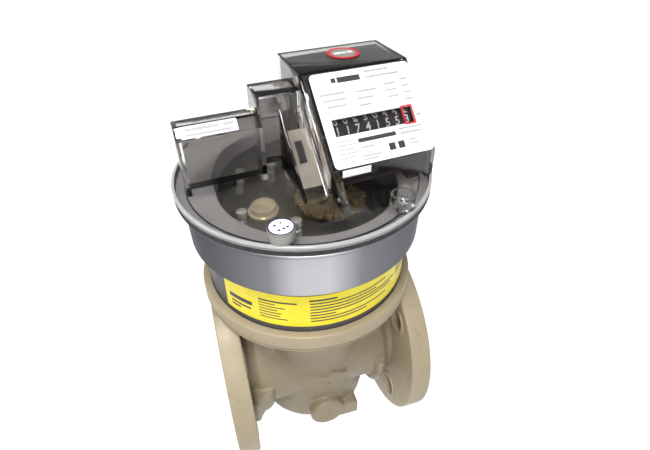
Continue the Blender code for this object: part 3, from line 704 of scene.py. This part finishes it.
def build_drum(looks):
    """Index drum, the matt ledge round its well, the gasket under the rim and an inner cord."""
    outline = rounded_outline([
        (16.2, 139.0), (60.4, 139.0), (60.4, DRUM_BOTTOM), (81.0, DRUM_BOTTOM, 0.5),
        (81.8, DRUM_BOTTOM + 1.0, 0.6), (82.6, 161.0, 1.0), (83.2, 164.0, 2.5),
        (87.2, 167.6, 0.7), (87.2, DRUM_TOP, 0.5), (16.2, DRUM_TOP)], 0.3)
    drum = lathe("index_drum", outline, 224, yaw=HEAD_YAW)
    boolean(drum, "DIFFERENCE", well_cutter(WELL_R, WELL_FLOOR), *at_screws(2.4, 150.0, 180.0))
    finish_piece(drum, "index_head", looks["aluminium"], ("head_housing",))
    low, high = DRUM_TOP + GAP, RIM_Z[0] - GAP
    section = rounded_outline([(85.2, low), (86.9, low, 0.6), (86.9, high, 0.6), (85.2, high)],
                              0.2)
    gasket = lathe("rim_gasket", section, 192, yaw=HEAD_YAW)
    finish_piece(gasket, "index_head", looks["rubber"], ("cover_gasket",))
    face = rounded_outline([(61.0, DRUM_TOP), (84.6, DRUM_TOP), (84.6, DRUM_TOP + 0.4),
                            (61.0, DRUM_TOP + 0.4)], 0.15)
    ledge = lathe("ledge", face, 192, yaw=HEAD_YAW)
    boolean(ledge, "DIFFERENCE", well_cutter(WELL_R + 0.6, 160.0), *at_screws(2.6, 150.0, 180.0))
    finish_piece(ledge, "index_head", looks["matt_alloy"]).name = "drum_ledge"
    line = rounded_outline([(78.6, DRUM_TOP + 0.5), (79.5, DRUM_TOP + 0.5),
                            (79.5, DRUM_TOP + 1.1), (78.6, DRUM_TOP + 1.1)], 0.2)
    cord = lathe("inner_cord", line, 192, yaw=HEAD_YAW)
    boolean(cord, "DIFFERENCE", *at_screws(4.6, 150.0, 190.0, 32))
    finish_piece(cord, "index_head", looks["rubber"]).name = "inner_seal_cord"


def box_outline(y, top, constant, depth, low):
    """Side outline of a box whose front slopes back at 45 degrees, shrunk by a depth."""
    front, back, top = y[0] + depth, y[1] - depth, top - depth
    constant = constant - depth * sqrt(2.0)
    return [(front, low), (back, low), (back, top), (top - constant, top),
            (front, front + constant)]


def counter_outline(depth=0.0, low=BOX_LOW):
    return box_outline(BOX_Y, BOX_TOP, SLOPE_C, depth, low)


def left_outline(depth=0.0, low=BOX_LOW):
    return box_outline(LEFT_Y, LEFT_TOP, LEFT_C, depth, low)


def build_cover(looks):
    """Clear moulding: round plate, counter box, left box, tower, sloping pocket and front tab."""
    low, high = RIM_Z
    plate = rounded_outline([(0, low), (RIM_R, low, 0.5), (RIM_R, high, 1.6), (0, high)], 0.6, 5)
    cover = lathe("moulded_cover", plate, 192, yaw=HEAD_YAW)

    def part(outline, left, right):
        return bevelled(prism("part", outline, left, right, "X", HEAD_YAW), 0.7)

    def cavity(outline, left, right):
        return prism("cavity", outline, left, right, "X", HEAD_YAW)

    outside = [part(counter_outline(), *BOX_X),
               part(left_outline(), *LEFT_X),
               part(rectangle((-2.0, 21.0), (BOX_LOW, 229.5)), -28.0, 0.5),
               part([(-45.5, 175.0), (0.0, 175.0), (0.0, 220.5)], -15.0, 0.6),
               part([(-63.5, 175.0), (-44.0, 175.0), (-44.0, 194.5)], 2.5, 7.5)]
    inside = [cavity(counter_outline(WALL, CAVITY_LOW), BOX_X[0] + WALL, BOX_X[1] - WALL),
              cavity(left_outline(WALL, CAVITY_LOW), -75.8, -30.0),
              cavity(rectangle((0.4, 18.6), (CAVITY_LOW, 227.1)), -25.6, -1.9),
              cavity([(-41.5, CAVITY_LOW), (1.0, CAVITY_LOW), (1.0, 218.4), (-41.5, 175.9)],
                     -12.8, BOX_X[0] + WALL + 0.2)]
    holes = at_screws(2.4, CAVITY_LOW, 185.0)
    boolean(cover, "UNION", *outside)
    boolean(cover, "DIFFERENCE", *inside, *holes)
    finish_piece(cover, "index_head", looks["clear"], ("clear_cover",), 25)
    section = rounded_outline([(85.4, low + 0.2), (RIM_R, low + 0.2, 0.4),
                               (RIM_R, high + 0.05, 0.9), (85.4, high + 0.05)], 0.3)
    edge = lathe("ground_edge", section, 192, yaw=HEAD_YAW)
    finish_piece(edge, "index_head", looks["edge"]).name = "cover_ground_edge"


def on_slope(front, constant):
    """Placing function of a 45 degree slope: s mm up from its lower edge, lift mm proud of it."""
    half = sqrt(0.5)

    def place(x, s, lift):
        return (x, front + s * half - lift * half, front + constant + s * half + lift * half)

    return place


PLATE_SLOPE = on_slope(PLATE_Y[0], PLATE_C)
LEFT_SLOPE = on_slope(LEFT_Y[0], LEFT_C)


def slope_plate(name, outline, low, high, place=PLATE_SLOPE):
    """Plate parallel to a slope, between two heights over it, from an outline of (x, s)."""
    count = len(outline)
    verts = [place(x, s, lift) for lift in (low, high) for x, s in outline]
    faces = [list(range(count)), [count + i for i in range(count)]]
    for i in range(count):
        j = (i + 1) % count
        faces.append([i, j, count + j, count + i])
    return mesh_object(name, verts, faces, HEAD_YAW)


def rectangle(x, s):
    return [(x[0], s[0]), (x[1], s[0]), (x[1], s[1]), (x[0], s[1])]


def round_rectangle(x, s, radius, steps=6):
    points = []
    corners = ((x[1] - radius, s[1] - radius), (x[0] + radius, s[1] - radius),
               (x[0] + radius, s[0] + radius), (x[1] - radius, s[0] + radius))
    for quarter, (cx, cs) in enumerate(corners):
        for k in range(steps + 1):
            angle = (quarter + k / steps) * pi / 2
            points.append((cx + radius * cos(angle), cs + radius * sin(angle)))
    return points


def build_plate(looks):
    """White index plate with its window, window frames and plain bars in place of print."""
    height = (PLATE_Y[1] - PLATE_Y[0]) * sqrt(2.0)
    window = [(y - PLATE_Y[0]) * sqrt(2.0) for y in WINDOW_Y]
    plate = slope_plate("front_plate", round_rectangle(PLATE_X, (0, height), 3.0), -0.6, 0.0)
    boolean(plate, "DIFFERENCE", slope_plate("window", rectangle(WINDOW_X, window), -3.0, 3.0))
    bevelled(plate, 0.12)
    finish_piece(plate, "index_head", looks["white"], ("index_plate",))

    def frame_round(name, x, width, colour):
        outside = rectangle((x[0] - width, x[1] + width), (window[0] - width, window[1] + width))
        ring = slope_plate(name, outside, 0.02, 0.12)
        boolean(ring, "DIFFERENCE", slope_plate("hole", rectangle(x, window), -1.0, 1.0))
        finish_piece(ring, "index_head", looks[colour])

    last = WINDOW_X[1] - DIGIT_PITCH
    frame_round("window_frame", (WINDOW_X[0] + 0.1, last - 0.05), 0.25, "ink")
    frame_round("last_digit_frame", (last + 0.75, WINDOW_X[1] - 0.1), 1.1, "red")

    def bars(name, colour, rows):
        made = [slope_plate("bar", rectangle((x, x + length), (s, s + thick)), 0.02, 0.10)
                for x, s, length, thick in rows]
        finish_piece(joined(name, made), "index_head", looks[colour])

    low, high = window
    bars("bold_bars", "ink", [(24.0, low - 6.3, 26.0, 2.6), (22.0, high + 22.5, 15.5, 3.6),
                              (18.0, high + 22.9, 3.0, 3.0), (43.0, 5.0, 4.4, 4.6),
                              (49.5, 5.0, 4.4, 4.6)])
    faint = [(41.0, high + 26.5, 17.0, 1.3), (41.0, high + 22.8, 23.0, 1.3)]
    faint += [(64.0, high + 18.0 - 4.5 * k, 5.0, 1.1) for k in range(4)]
    faint += [(8.0 + 1.5 * k, high + 15.5 - 4.0 * k, 17.0 - 2.0 * k, 1.2) for k in range(3)]
    faint += [(32.0, high + 14.5 - 4.5 * k, 14.0 - 3.0 * k, 1.2) for k in range(3)]
    faint += [(52.0, high + 16.5 - 4.3 * k, 8.0, 1.1) for k in range(3)]
    faint += [(9.0, low - 4.0 - 2.6 * k, 11.0 + 2.0 * (k % 2), 0.8) for k in range(5)]
    faint += [(53.0, low - 3.4 - 3.0 * k, 16.0 - 1.5 * k, 1.1) for k in range(2)]
    faint += [(25.0, low - 10.0, 9.0, 0.9), (24.0, 4.4, 13.0, 0.9), (24.0, 2.4, 10.0, 0.9),
              (57.5, 6.4, 6.0, 1.0), (57.5, 8.8, 5.0, 1.0), (68.0, low + 3.5, 3.0, 1.6)]
    bars("faint_bars", "faint_ink", faint)


def build_stickers(looks):
    """Label on the left box and round sticker on the counter box, with bars in place of print."""
    film = round_rectangle((-75.3, -41.8), (1.2, 8.9), 0.8)
    label = slope_plate("side_film", film, 0.3, 0.6, LEFT_SLOPE)
    finish_piece(label, "index_head", looks["lilac"], ("side_label",))
    rows = [(-73.0, 5.6, 20.0, 1.7), (-73.0, 2.6, 27.0, 1.2), (-50.0, 5.6, 6.0, 1.7)]
    made = [slope_plate("bar", rectangle((x, x + length), (s, s + thick)), 0.62, 0.70, LEFT_SLOPE)
            for x, s, length, thick in rows]
    finish_piece(joined("side_bars", made), "index_head", looks["faint_ink"])
    section = rounded_outline([(8.9, BOX_TOP + GAP), (10.9, BOX_TOP + GAP),
                               (10.9, BOX_TOP + 0.6), (8.9, BOX_TOP + 0.6)], 0.05)
    centre = (39.9, 23.1, 0)
    ring = lathe("red_ring", section, 96, centre=centre, yaw=HEAD_YAW)
    finish_piece(ring, "index_head", looks["red"], ("ring_sticker",))
    disc = cylinder("ring_disc", 8.6, BOX_TOP + GAP, BOX_TOP + 0.5, centre=centre, yaw=HEAD_YAW)
    finish_piece(disc, "index_head", looks["grey"])
    strips = []
    for x, width in ((-6.5, 5.0), (-0.8, 2.6), (2.8, 4.0)):
        outline = rectangle((centre[0] + x, centre[0] + x + width),
                            (centre[1] - 1.2, centre[1] + 1.8))
        strips.append(prism("bar", outline, BOX_TOP + 0.52, BOX_TOP + 0.6, "Z", HEAD_YAW))
    finish_piece(joined("ring_bars", strips), "index_head", looks["white"])


# ---------------------------------------------------------------- counter

def digit_mesh(character):
    """One filled flat digit, centred, 1 unit tall and cut into bands so that it can be bent."""
    curve = bpy.data.curves.new("digit", "FONT")
    curve.body = character
    curve.size = 1.0
    curve.align_x = "CENTER"
    curve.resolution_u = 3
    curve.offset = 0.015
    holder = bpy.data.objects.new("digit", curve)
    bpy.context.scene.collection.objects.link(holder)
    bpy.context.view_layer.update()
    evaluated = holder.evaluated_get(bpy.context.evaluated_depsgraph_get())
    mesh = bpy.data.meshes.new_from_object(evaluated)
    bpy.data.objects.remove(holder, do_unlink=True)
    bm = bmesh.new()
    bm.from_mesh(mesh)
    top = max(v.co.y for v in bm.verts)
    low = min(v.co.y for v in bm.verts)
    middle = (max(v.co.x for v in bm.verts) + min(v.co.x for v in bm.verts)) / 2
    for v in bm.verts:
        v.co = Vector(((v.co.x - middle) / (top - low),
                       (v.co.y - (top + low) / 2) / (top - low), 0))
    for k in range(1, DIGIT_BANDS):
        geometry = bm.verts[:] + bm.edges[:] + bm.faces[:]
        bmesh.ops.bisect_plane(bm, geom=geometry, plane_co=(0, k / DIGIT_BANDS - 0.5, 0),
                               plane_no=(0, 1, 0))
    return bm


def drum_digits(shown):
    """Ten digits wrapped round a drum, with one of them facing out of the window."""
    bm = bmesh.new()
    for value in range(10):
        flat = digit_mesh(str(value))
        bmesh.ops.solidify(flat, geom=flat.faces[:], thickness=0.02)
        offset = (shown - value) * tau / 10
        low = min(v.co.z for v in flat.verts)
        for v in flat.verts:
            angle = WINDOW_ANGLE - offset - v.co.y * DIGIT_HEIGHT / DIGIT_R
            radius = DIGIT_R + 0.02 + (DIGIT_LIFT if v.co.z > low + 0.01 else 0.0)
            across = v.co.x * DIGIT_HEIGHT * DIGIT_WIDTH
            v.co = Vector((across, radius * cos(angle), radius * sin(angle)))
        mesh = bpy.data.meshes.new("digit")
        flat.to_mesh(mesh)
        flat.free()
        bm.from_mesh(mesh)
        bpy.data.meshes.remove(mesh)
    bmesh.ops.recalc_face_normals(bm, faces=bm.faces)
    return bm


def build_counter(looks):
    """Black number drums, each with ten white digits round it."""
    for k in range(DIGITS):
        x = WINDOW_X[0] + 0.1 + DIGIT_PITCH * (k + 0.5)
        body = f"drum_{k + 1}"
        outline = rounded_outline([(1.8, -3.25), (DIGIT_R, -3.25, 0.35), (DIGIT_R, 3.25, 0.35),
                                   (1.8, 3.25)], 0.1)
        drum = lathe(f"digit_drum_{k + 1}", outline, 80, "X", (x, *DRUM_AXIS), HEAD_YAW)
        replaced = (f"number_drum_{k + 1}",)
        finish_piece(drum, body, looks["black"], replaced)
        bm = drum_digits(SHOWN[k])
        for v in bm.verts:
            v.co = world((v.co.x + x, v.co.y + DRUM_AXIS[0], v.co.z + DRUM_AXIS[1]), HEAD_YAW)
        mesh = bpy.data.meshes.new(f"digits_{k + 1}")
        bm.to_mesh(mesh)
        bm.free()
        digits = bpy.data.objects.new(f"digits_{k + 1}", mesh)
        bpy.context.scene.collection.objects.link(digits)
        finish_piece(digits, body, looks["white"], (), 30)


# ---------------------------------------------------------------- seals, screws and gear well

def build_seals(looks):
    """Cups with their screws, and the plug with a marked face in the one that is sealed."""
    low = RIM_Z[1] + GAP
    for k, centre in enumerate(screw_centres()):
        sealed = k == 0
        top = SEALED_CUP_TOP if sealed else OPEN_CUP_TOP
        outline = rounded_outline([(2.4, low), (8.0, low, 0.4), (8.0, top, 0.5), (6.4, top, 0.4),
                                   (6.4, 178.0, 0.5), (2.4, 178.0)], 0.2)
        cup = lathe(f"cup_{k + 1}", outline, 64, centre=centre, yaw=HEAD_YAW)
        finish_piece(cup, "index_head", looks["cup_grey" if sealed else "clear_cup"],
                     (f"seal_cup_{k + 1}",))
        head = rounded_outline([(0, 152.0), (2.0, 152.0), (2.0, 178.3), (4.2, 178.3, 0.3),
                                (4.2, 180.2, 0.3), (3.6, 180.8, 0.3), (2.0, 180.8, 0.1),
                                (1.9, 179.4, 0.1), (0, 179.4)], 0.1)
        screw = lathe(f"screw_{k + 1}", head, 48, centre=centre, yaw=HEAD_YAW)
        finish_piece(screw, "index_head", looks["steel"],
                     (f"cover_screw_{k + 1}",))
    centre = screw_centres()[0]
    outline = rounded_outline([(0, 181.3), (6.0, 181.3), (6.0, 182.3), (8.0, 182.3, 0.3),
                               (8.0, PLUG_TOP, 0.4), (0, PLUG_TOP)], 0.1)
    plug = lathe("seal_plug", outline, 64, centre=centre, yaw=HEAD_YAW)
    finish_piece(plug, "index_head", looks["cup_grey"], ("seal_disc",))
    face = lathe("seal_face", [(0, PLUG_TOP), (6.8, PLUG_TOP), (6.8, 183.36), (0, 183.36)], 64,
                 centre=centre, yaw=HEAD_YAW)
    finish_piece(face, "index_head", looks["white"])
    ring = lathe("seal_ring", [(6.8, PLUG_TOP), (7.7, PLUG_TOP), (7.7, 183.38), (6.8, 183.38)], 64,
                 centre=centre, yaw=HEAD_YAW)
    finish_piece(ring, "index_head", looks["navy"])
    marks = []
    for x, y, w, h in ((-3.8, 1.5, 1.6, 1.4), (0.4, 2.4, 0.8, 1.8), (-2.8, -3.4, 1.5, 1.4),
                       (0.2, -3.0, 1.5, 1.5), (2.6, -2.2, 1.4, 1.5)):
        outline = rectangle((centre[0] + x, centre[0] + x + w), (centre[1] + y, centre[1] + y + h))
        marks.append(prism("mark", outline, 183.36, 183.42, "Z", HEAD_YAW))
    finish_piece(joined("seal_marks", marks), "index_head", looks["navy"])


def build_well(looks):
    """Bright pillars with slotted heads and a pale brass boss on the dark gear plate."""
    plate_top = WELL_FLOOR + 2.3
    floor = plate_top + GAP
    for k, (x, y) in enumerate(PILLARS):
        outline = rounded_outline([(0, floor), (3.0, floor), (3.0, 161.0, 0.3), (2.2, 161.6),
                                   (2.2, 163.0), (3.4, 163.4, 0.3), (3.4, 167.0, 0.4),
                                   (0, 167.4)], 0.2)
        post = lathe(f"post_{k + 1}", outline, 48, centre=(x, y, 0), yaw=HEAD_YAW)
        slot_x = rectangle((x - 4.0, x + 4.0), (y - 0.5, y + 0.5))
        boolean(post, "DIFFERENCE", prism("slot", slot_x, 166.2, 170.0, "Z", HEAD_YAW))
        finish_piece(post, "index_head", looks["post"],
                     (f"gear_pillar_{k + 1}",))
    outline = rounded_outline([(0, floor), (10.4, floor), (10.4, floor + 1.6, 0.4),
                               (8.6, floor + 1.6), (8.6, floor + 4.6, 0.5),
                               (6.6, floor + 4.6, 0.3), (6.0, floor + 2.2), (0, floor + 2.2)], 0.2)
    boss = lathe("brass_boss", outline, 64, centre=(-31.0, -6.0, 0), yaw=HEAD_YAW)
    finish_piece(boss, "index_head", looks["pale_brass"],
                 ("calibration_boss",))
    plate = rounded_outline([(4.2, WELL_FLOOR + GAP), (WELL_R - 0.8, WELL_FLOOR + GAP),
                             (WELL_R - 0.8, plate_top, 0.5), (4.2, plate_top)], 0.2)
    disc = lathe("well_plate", plate, 128, centre=(*WELL_CENTRE, 0), yaw=HEAD_YAW)
    finish_piece(disc, "index_head", looks["bronze"], ("gear_plate",))


CARRIED = {
    "steel": ("separating_cup", "upper_bearing", "lower_bearing", "turbine_shaft", "rotor_shaft",
              "drum_axle", "lay_shaft", "worm_arbor"),
    "alloy": ("measuring_insert", "guide_ring", "turbine_wheel"),
    "magnet": ("inner_magnet", "outer_magnet"),
    "rubber": ("swivel_seal",),
    "brass": ("rotor_pinion", "reduction_gear", "worm_wheel", "drive_pinion"),
    "pale_brass": ("rotor_bush",),
    "grey": ("side_plug",),
    "frame": ("counter_frame",),
    "board": ("sensor_board",),
    "black": ("pulse_pickup", "reed_sensor"),
    "white": ("unit_strip",),
}


def dress_carried(looks):
    """Better materials for the nodes whose shape is right already."""
    for look, names in CARRIED.items():
        for name in names:
            node = frame["nodes"][name]
            node.data.materials.clear()
            node.data.materials.append(looks[look])


# ---------------------------------------------------------------- stage, light and camera

def area_light(name, place, target, size, power, colour=(1, 1, 1)):
    data = bpy.data.lights.new(name, "AREA")
    data.shape = "RECTANGLE"
    data.size, data.size_y = size
    data.energy = power
    data.color = colour
    light = bpy.data.objects.new(name, data)
    light.location = place
    light.rotation_euler = (Vector(target) - Vector(place)).to_track_quat("-Z", "Y").to_euler()
    bpy.context.scene.collection.objects.link(light)


def build_stage():
    """Pale floor, dim sky and three lights: soft key, small flash and a fill from the left."""
    mesh = bpy.data.meshes.new("floor")
    bm = bmesh.new()
    bmesh.ops.create_circle(bm, cap_ends=True, segments=96, radius=8.0)
    bm.to_mesh(mesh)
    bm.free()
    floor = bpy.data.objects.new("floor", mesh)
    bpy.context.scene.collection.objects.link(floor)
    look = Shader("pale_floor", (0.2, 0.2, 0.2), 0.8, Emission_Color=(1.0, 1.0, 1.0, 1.0),
                  Emission_Strength=0.97)
    look.colour(look.ramp(look.noise(3.0), [(0.3, (0.18, 0.18, 0.18)), (0.7, (0.21, 0.21, 0.21))]))
    floor.data.materials.append(look.material)
    bpy.context.scene.view_settings.view_transform = "Standard"
    world_data = bpy.data.worlds.new("studio")
    world_data.use_nodes = True
    background = world_data.node_tree.nodes["Background"]
    background.inputs["Color"].default_value = (0.96, 0.97, 1.0, 1.0)
    background.inputs["Strength"].default_value = 0.35
    bpy.context.scene.world = world_data
    middle = (0, 0, 0.16)
    area_light("key", (-0.22, -0.45, 1.35), middle, (0.4, 0.4), 17.0, (1.0, 0.98, 0.95))
    area_light("flash", (-0.22, -0.95, 0.85), middle, (0.12, 0.12), 6.0)
    area_light("left", (-0.95, 0.25, 0.75), middle, (0.5, 0.7), 3.0)


def build_camera():
    data = bpy.data.cameras.new("camera")
    data.sensor_width = 36.0
    data.lens = CAMERA_LENS
    camera = bpy.data.objects.new("camera", data)
    turn = (Matrix.Rotation(radians(CAMERA_AZIMUTH), 4, "Z")
            @ Matrix.Rotation(radians(90.0 - CAMERA_ELEVATION), 4, "X")
            @ Matrix.Rotation(radians(CAMERA_ROLL), 4, "Z"))
    camera.matrix_world = Matrix.Translation(world(CAMERA_PLACE)) @ turn
    bpy.context.scene.collection.objects.link(camera)
    bpy.context.scene.camera = camera


def main():
    looks = make_materials()
    build_camera()
    build_stage()
    build_body(looks)
    build_neck(looks)
    build_label(looks)
    build_drum(looks)
    build_cover(looks)
    build_plate(looks)
    build_stickers(looks)
    build_counter(looks)
    build_seals(looks)
    build_well(looks)
    dress_carried(looks)
    bpy.context.view_layer.update()


main()
